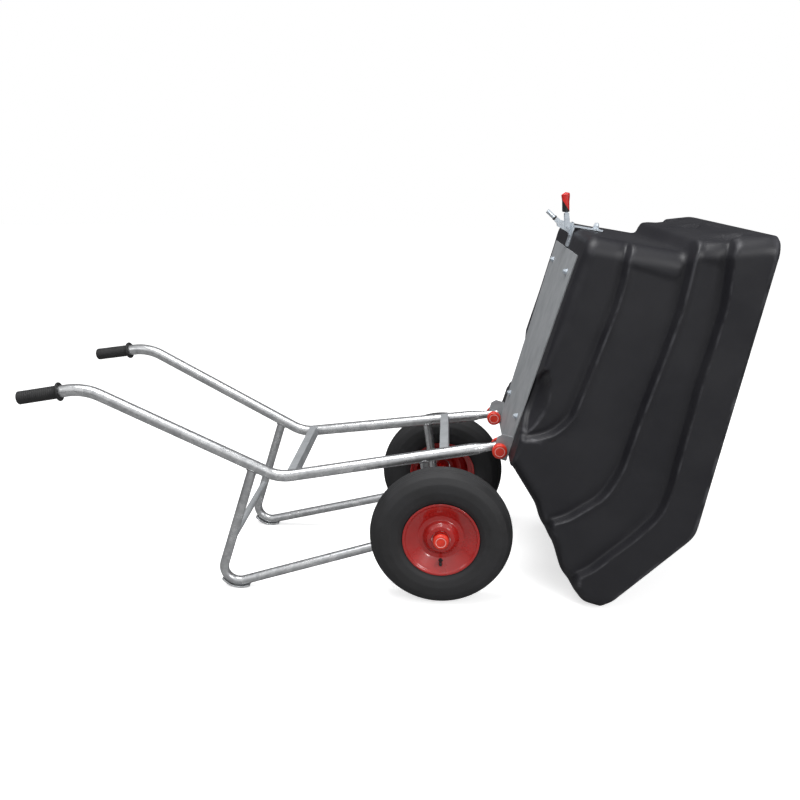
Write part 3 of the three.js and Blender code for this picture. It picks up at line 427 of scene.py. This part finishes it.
def finish(name, plain, worn, patch, grain, smooth, rough, metallic=0.0, bump=0.2, depth=0.0003):
    """A material with the weathering group on the piece's own coordinates, at the given sizes."""
    material, nodes, links, surface = shader(name, plain, (smooth + rough) / 2, metallic)
    worked = nodes.new("ShaderNodeGroup")
    worked.node_tree = WEATHERING
    links.new(own_places(nodes), worked.inputs["Vector"])
    for socket, value in (("Patch Scale", patch), ("Grain Scale", grain), ("Smooth", smooth),
                          ("Rough", rough), ("Plain", (*plain, 1)), ("Worn", (*worn, 1))):
        worked.inputs[socket].default_value = value
    links.new(worked.outputs["Color"], surface.inputs["Base Color"])
    links.new(worked.outputs["Roughness"], surface.inputs["Roughness"])
    relief = nodes.new("ShaderNodeBump")
    relief.inputs["Strength"].default_value = bump
    relief.inputs["Distance"].default_value = depth
    links.new(worked.outputs["Height"], relief.inputs["Height"])
    links.new(relief.outputs["Normal"], surface.inputs["Normal"])
    return material, nodes, links, surface, worked


def overlaid(nodes, links, surface, mask, below, over):
    """Lays a colour over the shader's present colour wherever the mask is 1."""
    mix = nodes.new("ShaderNodeMix")
    mix.data_type = "RGBA"
    links.new(mask, mix.inputs["Factor"])
    links.new(below, mix.inputs[6])
    mix.inputs[7].default_value = (*over, 1)
    links.new(mix.outputs[2], surface.inputs["Base Color"])


def stepped(nodes, links, value, low, high, top=1.0, start=0.0):
    """A mask that goes from start to top as the value runs from low to high."""
    node = nodes.new("ShaderNodeMapRange")
    node.inputs["From Min"].default_value = low
    node.inputs["From Max"].default_value = high
    node.inputs["To Min"].default_value = start
    node.inputs["To Max"].default_value = top
    links.new(value, node.inputs["Value"])
    return node.outputs["Result"]


def product(nodes, links, first, second):
    """One mask times another."""
    node = nodes.new("ShaderNodeMath")
    node.operation = "MULTIPLY"
    links.new(first, node.inputs[0])
    links.new(second, node.inputs[1])
    return node.outputs["Value"]


tub_plastic, nodes, links, surface, worked = finish(
    "tub_polyethylene", (0.0125, 0.0125, 0.016), (0.0175, 0.0175, 0.021), 6, 850, 0.42, 0.6, 0, 0.22, 0.0004)
surface.inputs["Specular IOR Level"].default_value = 0.4
# painted highlight: raised edges and groove lips are painted paler, in broken strokes, for the light they
# catch
highlight_breakup = nodes.new("ShaderNodeTexNoise")
highlight_breakup.inputs["Scale"].default_value = 22
highlight_breakup.inputs["Detail"].default_value = 5
links.new(own_places(nodes), highlight_breakup.inputs["Vector"])
edges = stepped(nodes, links, nodes.new("ShaderNodeNewGeometry").outputs["Pointiness"], 0.515, 0.56, 0.7)
painted_edge_highlight = product(nodes, links, edges, stepped(nodes, links, highlight_breakup.outputs["Fac"], 0.42, 0.62))
# the paler colour laid over the raised edges is a painted highlight
overlaid(nodes, links, surface, painted_edge_highlight, worked.outputs["Color"], (0.09, 0.09, 0.1))
tub_piece = place_piece("tub_shell", tub_mesh, "tub_body", ["tub"], tub_plastic)
wall = tub_piece.modifiers.new("wall", "SOLIDIFY")
wall.thickness = TUB_WALL * MM
wall.offset = -1
wall.use_quality_normals = True

# ---- main tubes ----
# Two 33.7 mm galvanised steel tubes, each bent cold twice. They spread towards the handles, and their
# front ends are pressed narrower where the pivot bolts pass through.
TUBE_RADIUS = 16.85
PIVOT_AT = np.array([160.0, 424.5])
PIVOT_HALF, TOE_IN = 157, 0.091
RAIL_ANGLE, SLOPE_ANGLE, HANDLE_ANGLE = 8.2, 153, 188.8
RAIL_ABOVE_PIVOT, RAIL_NOSE = 6.5, 14
RAIL_LENGTH, SLOPE_LENGTH, HANDLE_LENGTH = 629, 584, 176
LOW_BEND, TOP_BEND = 110, 150
PRESSED, PRESSED_OVER, PRESSED_TALL, PRESSED_WIDE = 85, 34, 0.72, 0.68


def way(degrees):
    """Unit step in the cart's side view at an angle above forward."""
    return np.array([math.cos(math.radians(degrees)), math.sin(math.radians(degrees))])


def meeting(p, d, q, e):
    """Where the line from p along d crosses the line from q along e."""
    return p + d * ((q[0] - p[0]) * e[1] - (q[1] - p[1]) * e[0]) / (d[0] * e[1] - d[1] * e[0])


def bent(corners, radii, cells=18, run=24):
    """A route in the side view: straight runs, and at each inner corner the arc of that radius, as a
    rational quadratic curve with weight cos(turn / 2) between its two tangent places."""
    parts, last = [], corners[0]
    for before, corner, after, radius in zip(corners, corners[1:], corners[2:], radii):
        inward = (corner - before) / np.linalg.norm(corner - before)
        outward = (after - corner) / np.linalg.norm(after - corner)
        turn = math.acos(np.clip(inward @ outward, -1, 1))
        setback = radius * math.tan(turn / 2)
        begin, end = corner - inward * setback, corner + outward * setback
        parts.append(last + (begin - last) * np.linspace(0, 1, run)[:-1, None])
        s = np.linspace(0, 1, cells)[:-1, None]
        weight = 2 * s * (1 - s) * math.cos(turn / 2)
        total = (1 - s) ** 2 + weight + s ** 2
        parts.append(((1 - s) ** 2 * begin + weight * corner + s ** 2 * end) / total)
        last = end
    parts.append(last + (corners[-1] - last) * np.linspace(0, 1, run)[:, None])
    return np.vstack(parts)


def lifted(route, side):
    """Puts a route of the side view on the leaning plane of one side of the frame."""
    half = PIVOT_HALF + TOE_IN * (PIVOT_AT[0] - route[:, 0])
    return np.stack([route[:, 0], side * half, route[:, 1]], axis=1)


def in_metres(places):
    """Takes places from the cart's own frame in mm, whose origin is under the axle, to metres."""
    return (places + np.array([AXLE_X / MM, 0, 0])) * MM


def section_along(route, side, tall, wide, columns=36):
    """An oval of half height tall and half width wide carried along a route, with rounded closed ends:
    place + tall cos(a) up + wide sin(a) across, up and across being square to the route."""
    ends = [(0, 0.0), (0, 0.9), (0, 0.97)], [(-1, 0.97), (-1, 0.9), (-1, 0.0)]
    order = np.array([k for k, _ in ends[0]] + list(range(len(route))) + [k for k, _ in ends[1]])
    scale = np.array([f for _, f in ends[0]] + [1.0] * len(route) + [f for _, f in ends[1]])
    places = lifted(route, side)[order]
    step = np.gradient(route, axis=0)[order]
    along = np.stack([step[:, 0], -side * TOE_IN * step[:, 0], step[:, 1]], axis=1)
    along /= np.linalg.norm(along, axis=1, keepdims=True)
    across = np.array([side * TOE_IN, 1, 0]) / math.hypot(TOE_IN, 1)
    up = np.cross(across, along)
    a = np.linspace(0, 2 * math.pi, columns, endpoint=False)[None, :, None]
    tall = np.broadcast_to(tall, len(route))[order] * scale
    wide = np.broadcast_to(wide, len(route))[order] * scale
    return in_metres(places[:, None] + tall[:, None, None] * np.cos(a) * up[:, None]
                     + wide[:, None, None] * np.sin(a) * across)


rail_way, rail_up = way(RAIL_ANGLE), way(RAIL_ANGLE + 90)
rail_foot = PIVOT_AT + RAIL_ABOVE_PIVOT * rail_up
rail_end = rail_foot + RAIL_NOSE * rail_way
low_corner = rail_foot - RAIL_LENGTH * rail_way
top_corner = low_corner + SLOPE_LENGTH * way(SLOPE_ANGLE)
handle_end = top_corner + HANDLE_LENGTH * way(HANDLE_ANGLE)
main_route = bent([handle_end, top_corner, low_corner, rail_end], [TOP_BEND, LOW_BEND], run=40)
pressed = eased(PRESSED - (rail_end - main_route) @ rail_way, 0, PRESSED_OVER)

galvanised, nodes, links, surface, worked = finish(
    "galvanised_tube", (0.76, 0.77, 0.78), (0.54, 0.55, 0.56), 34, 240, 0.2, 0.42, 0.88, 0.25, 0.0004)
spangle = nodes.new("ShaderNodeTexVoronoi")
spangle.inputs["Scale"].default_value = 95
links.new(own_places(nodes), spangle.inputs["Vector"])
split = nodes.new("ShaderNodeSeparateColor")
links.new(spangle.outputs["Color"], split.inputs["Color"])
overlaid(nodes, links, surface, stepped(nodes, links, split.outputs["Red"], 0.35, 1.0, 0.4),
         worked.outputs["Color"], (0.34, 0.35, 0.37))
for name, side in (("right", -1), ("left", 1)):
    grid = section_along(main_route, side, TUBE_RADIUS * (1 + (PRESSED_TALL - 1) * pressed),
                         TUBE_RADIUS * (1 + (PRESSED_WIDE - 1) * pressed))
    place_piece("main_tube_bent_" + name, sheet_mesh("main_tube_bent_" + name, grid, loop_columns=True),
                "frame", ["main_tube_" + name], galvanised)

# ---- leg loops, skids and weld beads ----
# On each side one 26.9 mm tube makes the leg, the foot bend, the run under the axle and the strut. It
# is coped and welded to the main tube at both ends, and a thick steel strip under the foot takes wear.
LEG_RADIUS = 13.45
SKID_INNER, SKID_THICK, SKID_HALF = 59.35, 6, 12
FOOT_BEND, FRONT_BEND = 45, 38
leg_way, run_way = way(72.3), way(15.1)
foot_centre = np.array([-585, (SKID_INNER + SKID_THICK) * math.cos(math.radians(5))])
leg_place = foot_centre + FOOT_BEND * way(162.3)
run_place = foot_centre + FOOT_BEND * way(-74.9)
strut_place = np.array([0, 200]) + 23.75 * way(188.2)
leg_top = meeting(leg_place, leg_way, low_corner, way(SLOPE_ANGLE))
strut_top = meeting(strut_place, rail_up, rail_foot, rail_way)
loop_route = bent([
    leg_top - 8 * leg_way, meeting(leg_place, leg_way, run_place, run_way),
    meeting(run_place, run_way, strut_place, rail_up), strut_top - 8 * rail_up],
    [FOOT_BEND, FRONT_BEND])


def bead_grid(top, loop_way, main_way, side, rounds=96, columns=12):
    """A weld bead on the curve where the loop's tube meets the main tube. For each angle a round the
    loop's tube the curve lies where its place is one main radius from the main tube's centre line."""
    a = np.linspace(0, 2 * math.pi, rounds, endpoint=False)
    square = np.array([-main_way[1], main_way[0]])
    square = square if square @ loop_way > 0 else -square
    beside = np.array([-loop_way[1], loop_way[0]])
    reach = np.sqrt(TUBE_RADIUS ** 2 - (LEG_RADIUS * np.sin(a)) ** 2)
    back = (reach + LEG_RADIUS * np.cos(a) * (beside @ square)) / (loop_way @ square)
    seam = top + LEG_RADIUS * np.cos(a)[:, None] * beside - back[:, None] * loop_way
    centre = lifted(top[None], side)[0]
    curve = np.stack([seam[:, 0], np.full(rounds, centre[1]), seam[:, 1]], axis=1)
    curve[:, 1] += LEG_RADIUS * np.sin(a) - side * TOE_IN * (seam[:, 0] - top[0])
    middle = centre - np.array([loop_way[0], 0, loop_way[1]]) * back.mean()
    outward = curve - middle
    outward /= np.linalg.norm(outward, axis=1, keepdims=True)
    along = np.roll(curve, -1, axis=0) - np.roll(curve, 1, axis=0)
    along /= np.linalg.norm(along, axis=1, keepdims=True)
    up = np.cross(along, outward)
    b = np.linspace(0, 2 * math.pi, columns, endpoint=False)[None, :, None]
    thick = 2.9 + 0.45 * np.cos(16 * a)[:, None, None]
    return in_metres(curve[:, None] + thick * (np.cos(b) * outward[:, None] + np.sin(b) * up[:, None]))


def skid_grid(side, cells=36):
    """The strip under the foot: a flat bar's section with round edges turned about the foot bend."""
    edge = np.linspace(0, 2 * math.pi, 24, endpoint=False)
    across = SKID_HALF * np.sign(np.sin(edge)) * np.abs(np.sin(edge)) ** 0.25
    out = SKID_INNER + SKID_THICK / 2 - 0.13 + SKID_THICK / 2 * 0.96 * (
        np.sign(np.cos(edge)) * np.abs(np.cos(edge)) ** 0.35)
    shrink = np.array([0, 0.9] + [1] * cells + [0.9, 0])[:, None]
    turns = np.radians(np.concatenate([[-145, -145], np.linspace(-144.6, -65.4, cells), [-65, -65]]))[:, None]
    middle = SKID_INNER + SKID_THICK / 2
    reach = middle + (out[None] - middle) * shrink
    y = side * (PIVOT_HALF + TOE_IN * (PIVOT_AT[0] - foot_centre[0])) + across[None] * shrink
    return in_metres(np.stack([foot_centre[0] + reach * np.cos(turns), y,
                               foot_centre[1] + reach * np.sin(turns)], axis=-1))


weld_zinc, *_ = finish("weld_zinc", (0.6, 0.61, 0.62), (0.3, 0.3, 0.31), 120, 400, 0.4, 0.6, 1.0, 0.5, 0.0006)
for name, side in (("right", -1), ("left", 1)):
    loop = section_along(loop_route, side, LEG_RADIUS, LEG_RADIUS, 32)
    place_piece("leg_loop_bent_" + name, sheet_mesh("leg_loop_bent_" + name, loop, loop_columns=True),
                "frame", ["leg_loop_" + name], galvanised)
    place_piece("foot_skid_strip_" + name,
                sheet_mesh("foot_skid_strip_" + name, skid_grid(side), loop_columns=True, crease=50),
                "frame", ["foot_skid_" + name], galvanised)
    for joint, top, loop_way, main_way in (
            ("leg", leg_top, leg_way, way(SLOPE_ANGLE)), ("strut", strut_top, rail_up, rail_way)):
        bead = bead_grid(top, loop_way, main_way, side)
        label = f"{joint}_weld_{name}"
        place_piece(label, sheet_mesh(label, bead, loop_rows=True, loop_columns=True), "frame", [],
                    weld_zinc)

# ---- rubber grips ----
# Moulded black rubber cups pulled over the handle ends. Fine rings run round the sleeve, and a raised
# flange stops the hand from sliding down the tube.
GRIP_LONG = 113


def turned_about(profile, start, axis, columns=48):
    """Turns a profile, [radius, distance along] pairs, about an axis that starts at a place."""
    axis = np.asarray(axis, float) / np.linalg.norm(axis)
    first = np.cross(axis, [0.0, 0.0, 1.0])
    first /= np.linalg.norm(first)
    second = np.cross(axis, first)
    a = np.linspace(0, 2 * math.pi, columns, endpoint=False)[None, :, None]
    spoke = np.cos(a) * first + np.sin(a) * second
    return in_metres(np.asarray(start) + profile[:, 1][:, None, None] * axis
                     + profile[:, 0][:, None, None] * spoke)


def rounded(points, reach, spacing=1.0, closed=False):
    """Points along a line, evenly spaced, averaged with their neighbours so that corners are round.
    The two ends stay where they are unless the line is closed."""
    points = np.array(list(points) + ([points[0]] if closed else []), float)
    run = np.concatenate([[0], np.cumsum(np.hypot(*np.diff(points, axis=0).T))])
    at = np.linspace(0, run[-1], max(8, int(run[-1] / spacing)), endpoint=not closed)
    line = np.stack([np.interp(at, run, points[:, k]) for k in (0, 1)], axis=1)
    steps = np.arange(-int(3 * reach / spacing) - 1, int(3 * reach / spacing) + 2)
    weight = np.exp(-0.5 * (steps * spacing / reach) ** 2)
    weight /= weight.sum()
    n = len(steps) // 2
    if closed:
        padded = np.vstack([line[-n:], line, line[:n]])
    else:
        padded = np.vstack([2 * line[0] - line[n:0:-1], line, 2 * line[-1] - line[-2:-n - 2:-1]])
    return np.stack([np.convolve(padded[:, k], weight, mode="valid") for k in (0, 1)], axis=1)


grip_profile = rounded([
    (0, -5.9), (15.5, -5.9), (18.4, -3), (18.4, 103), (25.4, 106), (26.6, 109.5), (25.4, 112.8),
    (17.2, 112.8), (17.2, 111)], 0.9, 0.75)
ringed = eased(grip_profile[:, 1], 6, 10) * eased(-grip_profile[:, 1], -98, -94) * (grip_profile[:, 0] > 18)
grip_profile[:, 0] -= 0.8 * ringed * np.cos(np.pi * grip_profile[:, 1] / 5.5) ** 6
grip_rubber, *_ = finish(
    "grip_rubber", (0.011, 0.011, 0.012), (0.022, 0.022, 0.023), 30, 700, 0.55, 0.75, 0, 0.35)
for name, side in (("right", -1), ("left", 1)):
    start, goal = lifted(np.array([handle_end, top_corner]), side)
    label = "grip_sleeve_" + name
    place_piece(label, sheet_mesh(label, turned_about(grip_profile, start, goal - start), loop_columns=True),
                "frame", ["grip_" + name], grip_rubber)

# ---- wheels ----
# Pneumatic tyres of 400 mm on pressed steel rims, painted gloss red. The disc is dished in steps, a
# rubber valve stands low on it, and the hub turns on ball bearings on a fixed steel axle.
WHEEL_RADIUS, WHEEL_Y, AXLE_UP = 200, 263.5, 200
TREAD_DEPTH, TREAD_PITCH = 2.2, 7
RING_DEPTH, RING_PITCH = 0.45, 3.4
VALVE_BELOW_AXLE = 70


def mirrored(points):
    """The same points on the wheel's other face, in the order that carries a profile on."""
    return [(r, -y) for r, y in points[::-1]]


# outline of half the tyre's outside, then of half its inside, as (radius, across)
tyre_half = [
    (103.1, 31.5), (108, 35.3), (121, 44), (142, 48.3), (166, 46.8), (184, 37), (194, 22), (199.6, 8)]
cavity_half = [(192, 0), (184, 22), (162, 38), (122, 36), (103.1, 23.6)]
tyre_profile = rounded(
    tyre_half + mirrored(tyre_half) + mirrored(cavity_half) + cavity_half[1:], 2.4, 1.1, True)
tyre_profile[:, 0] *= WHEEL_RADIUS / tyre_profile[:, 0].max()
# ribs run round the tread, and fine ones round the shoulders
crown = eased(tyre_profile[:, 0], 193, 196) * eased(-np.abs(tyre_profile[:, 1]), -30, -26)
ribs = (0.5 - 0.5 * np.cos(2 * math.pi * (tyre_profile[:, 1] + TREAD_PITCH / 2) / TREAD_PITCH)) ** 2
tyre_profile[:, 0] -= TREAD_DEPTH * crown * ribs
sidewall = (np.abs(tyre_profile[:, 1]) > 38) & (tyre_profile[:, 0] > 118)
rings = sidewall * eased(tyre_profile[:, 0], 158, 164) * (
    0.5 - 0.5 * np.cos(2 * math.pi * tyre_profile[:, 0] / RING_PITCH))
tyre_profile[:, 1] -= np.sign(tyre_profile[:, 1]) * RING_DEPTH * rings
rim_profile = rounded([
    (25.3, 34), (37, 33), (45, 25), (51, 16.5), (63, 16.5), (67, 19), (90, 31), (98, 35), (101, 38.5),
    (104, 39.4), (107.4, 39.4), (107.4, 36.7),
    (102.7, 33.5), (102.7, 20), (88, 12), (88, -12), (102.7, -20), (102.7, -33.5), (107.4, -36.7),
    (107.4, -39.4), (99.7, -35), (99.7, -22), (85, -14), (85, 14), (98, 21.5), (97, 32),
    (89, 28), (66, 16), (62, 13.5), (50, 13.5), (42, 24), (36, 30), (25.3, 31)], 1.1, 0.8, True)
valve_profile = rounded([
    (0, 10), (6.4, 10), (6.4, 20.6), (4.0, 23), (3.8, 36.6), (4.6, 37.2), (4.6, 46.6), (3.6, 48),
    (0, 48)], 0.5, 0.5)
tyre_rubber, *_ = finish(
    "tyre_rubber", (0.014, 0.014, 0.015), (0.022, 0.022, 0.024), 14, 500, 0.6, 0.8, 0, 0.3, 0.0003)
red_paint, _, _, surface, _ = finish(
    "red_gloss_paint", (0.42, 0.007, 0.005), (0.35, 0.006, 0.004), 9, 160, 0.22, 0.34, 0, 0.05, 0.0002)
surface.inputs["Coat Weight"].default_value = 1.0
surface.inputs["Coat Roughness"].default_value = 0.06
for name, side in (("right", -1), ("left", 1)):
    centre, axis = (0, side * WHEEL_Y, AXLE_UP), (0, side, 0)
    grid = turned_about(tyre_profile, centre, axis, 144)
    label = "tyre_treaded_" + name
    place_piece(label, sheet_mesh(label, grid, True, True, 50), "wheel_" + name, ["tyre_" + name],
                tyre_rubber)
    label = "rim_dished_" + name
    place_piece(label, sheet_mesh(label, turned_about(rim_profile, centre, axis, 96), True, True, 60),
                "wheel_" + name, ["rim_" + name], red_paint)
    low = (0, side * WHEEL_Y, AXLE_UP - VALVE_BELOW_AXLE)
    label = "valve_stem_" + name
    place_piece(label, sheet_mesh(label, turned_about(valve_profile, low, axis, 24), loop_columns=True),
                "wheel_" + name, ["valve_" + name], grip_rubber)

# ---- caps over the axle ends and the pivot bolts ----
# Push-on caps of orange-red plastic with a rounded edge and one plain pale ring on the face.
HUB_CAP_Y, HUB_CAP_HIGH, HUB_CAP_RADIUS, HUB_RING_RADIUS = 305.1, 14, 22, 13.6
PIVOT_CAP_HIGH, PIVOT_CAP_RADIUS, PIVOT_RING_RADIUS = 17, 21.5, 13.2
PIVOT_OUTER_Y, PIVOT_INNER_Y = 181.3, 139.1
red_plastic, *_ = finish(
    "red_plastic", (0.78, 0.045, 0.022), (0.66, 0.032, 0.016), 40, 600, 0.3, 0.42, 0, 0.1)
ring_print, *_ = finish("ring_print", (0.85, 0.5, 0.47), (0.8, 0.42, 0.4), 60, 500, 0.4, 0.5, 0, 0.1)


def cap_pieces(label, node, radius, high, start, axis, ring_radius):
    """A cup with a rounded edge, open towards the cart, and the ring standing on its face."""
    profile = rounded([
        (radius - 2.2, 0.2), (radius - 0.1, 0.2), (radius - 0.1, high - 4), (radius - 3, high - 0.6),
        (0, high), (0, high - 2.2), (radius - 4, high - 3.2), (radius - 2.2, high - 6)], 0.8, 0.6)
    profile = np.vstack([profile, profile[:1]])
    place_piece(label, sheet_mesh(label, turned_about(profile, start, axis, 64), loop_columns=True),
                "frame", [node], red_plastic)
    b = np.linspace(0, 2 * math.pi, 12, endpoint=False)
    torus = np.stack([ring_radius + 0.9 * np.cos(b), high - 0.5 + 0.6 * np.sin(b)], axis=1)
    label += "_ring"
    place_piece(label, sheet_mesh(label, turned_about(torus, start, axis, 64), True, True),
                "frame", [], ring_print)


for name, side in (("right", -1), ("left", 1)):
    cap_pieces("hub_cover_" + name, "hub_cap_" + name, HUB_CAP_RADIUS, HUB_CAP_HIGH,
               (0, side * HUB_CAP_Y, AXLE_UP), (0, side, 0), HUB_RING_RADIUS)
    for where, y, facing in (("outer", PIVOT_OUTER_Y, side), ("inner", PIVOT_INNER_Y, -side)):
        cap_pieces(f"pivot_cover_{where}_{name}", f"pivot_cap_{where}_{name}", PIVOT_CAP_RADIUS,
                   PIVOT_CAP_HIGH, (PIVOT_AT[0], side * y, PIVOT_AT[1]), (0, facing, 0),
                   PIVOT_RING_RADIUS)

# ---- toggle clamp grip ----
# A slim two-colour plastic grip on the clamp's lever, black below and red above, cut slanting on top.
BLACK_UP_TO = 0.66, 0.68  # share of the grip's height where black turns to red, aslant
grip_low, grip_high = (np.array(corner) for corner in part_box("clamp_grip"))
grip_wide, grip_deep, grip_tall = grip_high - grip_low
grip_middle = (grip_low + grip_high) / 2
height = np.linspace(0, 1, 40)[:, None]
round_way = np.linspace(0, 2 * math.pi, 32, endpoint=False)[None, :]
end = np.sqrt(np.clip(1 - (np.clip(np.abs(height - 0.5) - 0.44, 0, None) / 0.06) ** 2, 0, 1))
half_wide = (0.43 + 0.07 * eased(height, 0.5, 0.85)) * end * grip_wide
half_deep = (0.43 + 0.05 * eased(height, 0.1, 0.6)) * end * grip_deep
lean = grip_wide * (0.1 - 0.14 * height - 0.02 * eased(height, 0.7, 1.0))
grip_x = grip_middle[0] + lean + half_wide * np.cos(round_way)
slant = -0.06 * eased(height, 0.8, 1.0) * (1 - np.cos(round_way))
grip_z = grip_low[2] + grip_tall * (height + slant * end)
grip_y = grip_middle[1] + half_deep * np.sin(round_way)
lever_grip, nodes, links, surface, worked = finish(
    "lever_grip_plastic", (0.62, 0.022, 0.018), (0.5, 0.016, 0.013), 60, 600, 0.28, 0.42, 0, 0.12)
apart = nodes.new("ShaderNodeSeparateXYZ")
links.new(own_places(nodes), apart.inputs["Vector"])
tall_share = stepped(nodes, links, apart.outputs["Z"], float(grip_low[2]), float(grip_high[2]))
wide_share = stepped(nodes, links, apart.outputs["X"], float(grip_low[0]), float(grip_high[0]), 0.6)
both = nodes.new("ShaderNodeMath")
both.operation = "ADD"
links.new(tall_share, both.inputs[0])
links.new(wide_share, both.inputs[1])
black_part = stepped(nodes, links, both.outputs["Value"], *BLACK_UP_TO, top=0.0, start=1.0)
overlaid(nodes, links, surface, black_part, worked.outputs["Color"], (0.012, 0.011, 0.012))
place_piece("lever_grip", sheet_mesh("lever_grip", np.stack(
    np.broadcast_arrays(grip_x, grip_y, grip_z), axis=-1), loop_columns=True, crease=60),
    "clamp_handle_body", ["clamp_grip"], lever_grip)

# ---- sheet steel, bolts, axle and clamp, shown with their own solids ----
# The support plate and cross members are dull hot-dip galvanised, the fasteners, the bracket and the
# clamp are bright zinc with a blue tint, and the axle and bearings are plain steel.
sheet_zinc, *_ = finish(
    "galvanised_sheet", (0.40, 0.415, 0.43), (0.33, 0.345, 0.36), 16, 300, 0.5, 0.65, 0.25, 0.15)
bright_zinc, *_ = finish(
    "bright_zinc", (0.68, 0.74, 0.80), (0.50, 0.55, 0.60), 90, 500, 0.24, 0.42, 0.4, 0.15)
plain_steel, *_ = finish("plain_steel", (0.30, 0.30, 0.31), (0.2, 0.2, 0.2), 70, 400, 0.35, 0.5, 0.95, 0.2)
shared = (("support_plate rear_cross_member front_cross_member leg_cross_bar", sheet_zinc),
          ("axle axle_collar bearing", plain_steel), ("spacer clamp_arm_ring", grip_rubber),
          ("hub_r hub_l", red_paint))
for node_name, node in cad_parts.items():
    match = [paint for words, paint in shared if any(word in node_name for word in words.split())]
    paint = match[-1] if match else bright_zinc
    for slot in node.material_slots:
        slot.material = paint
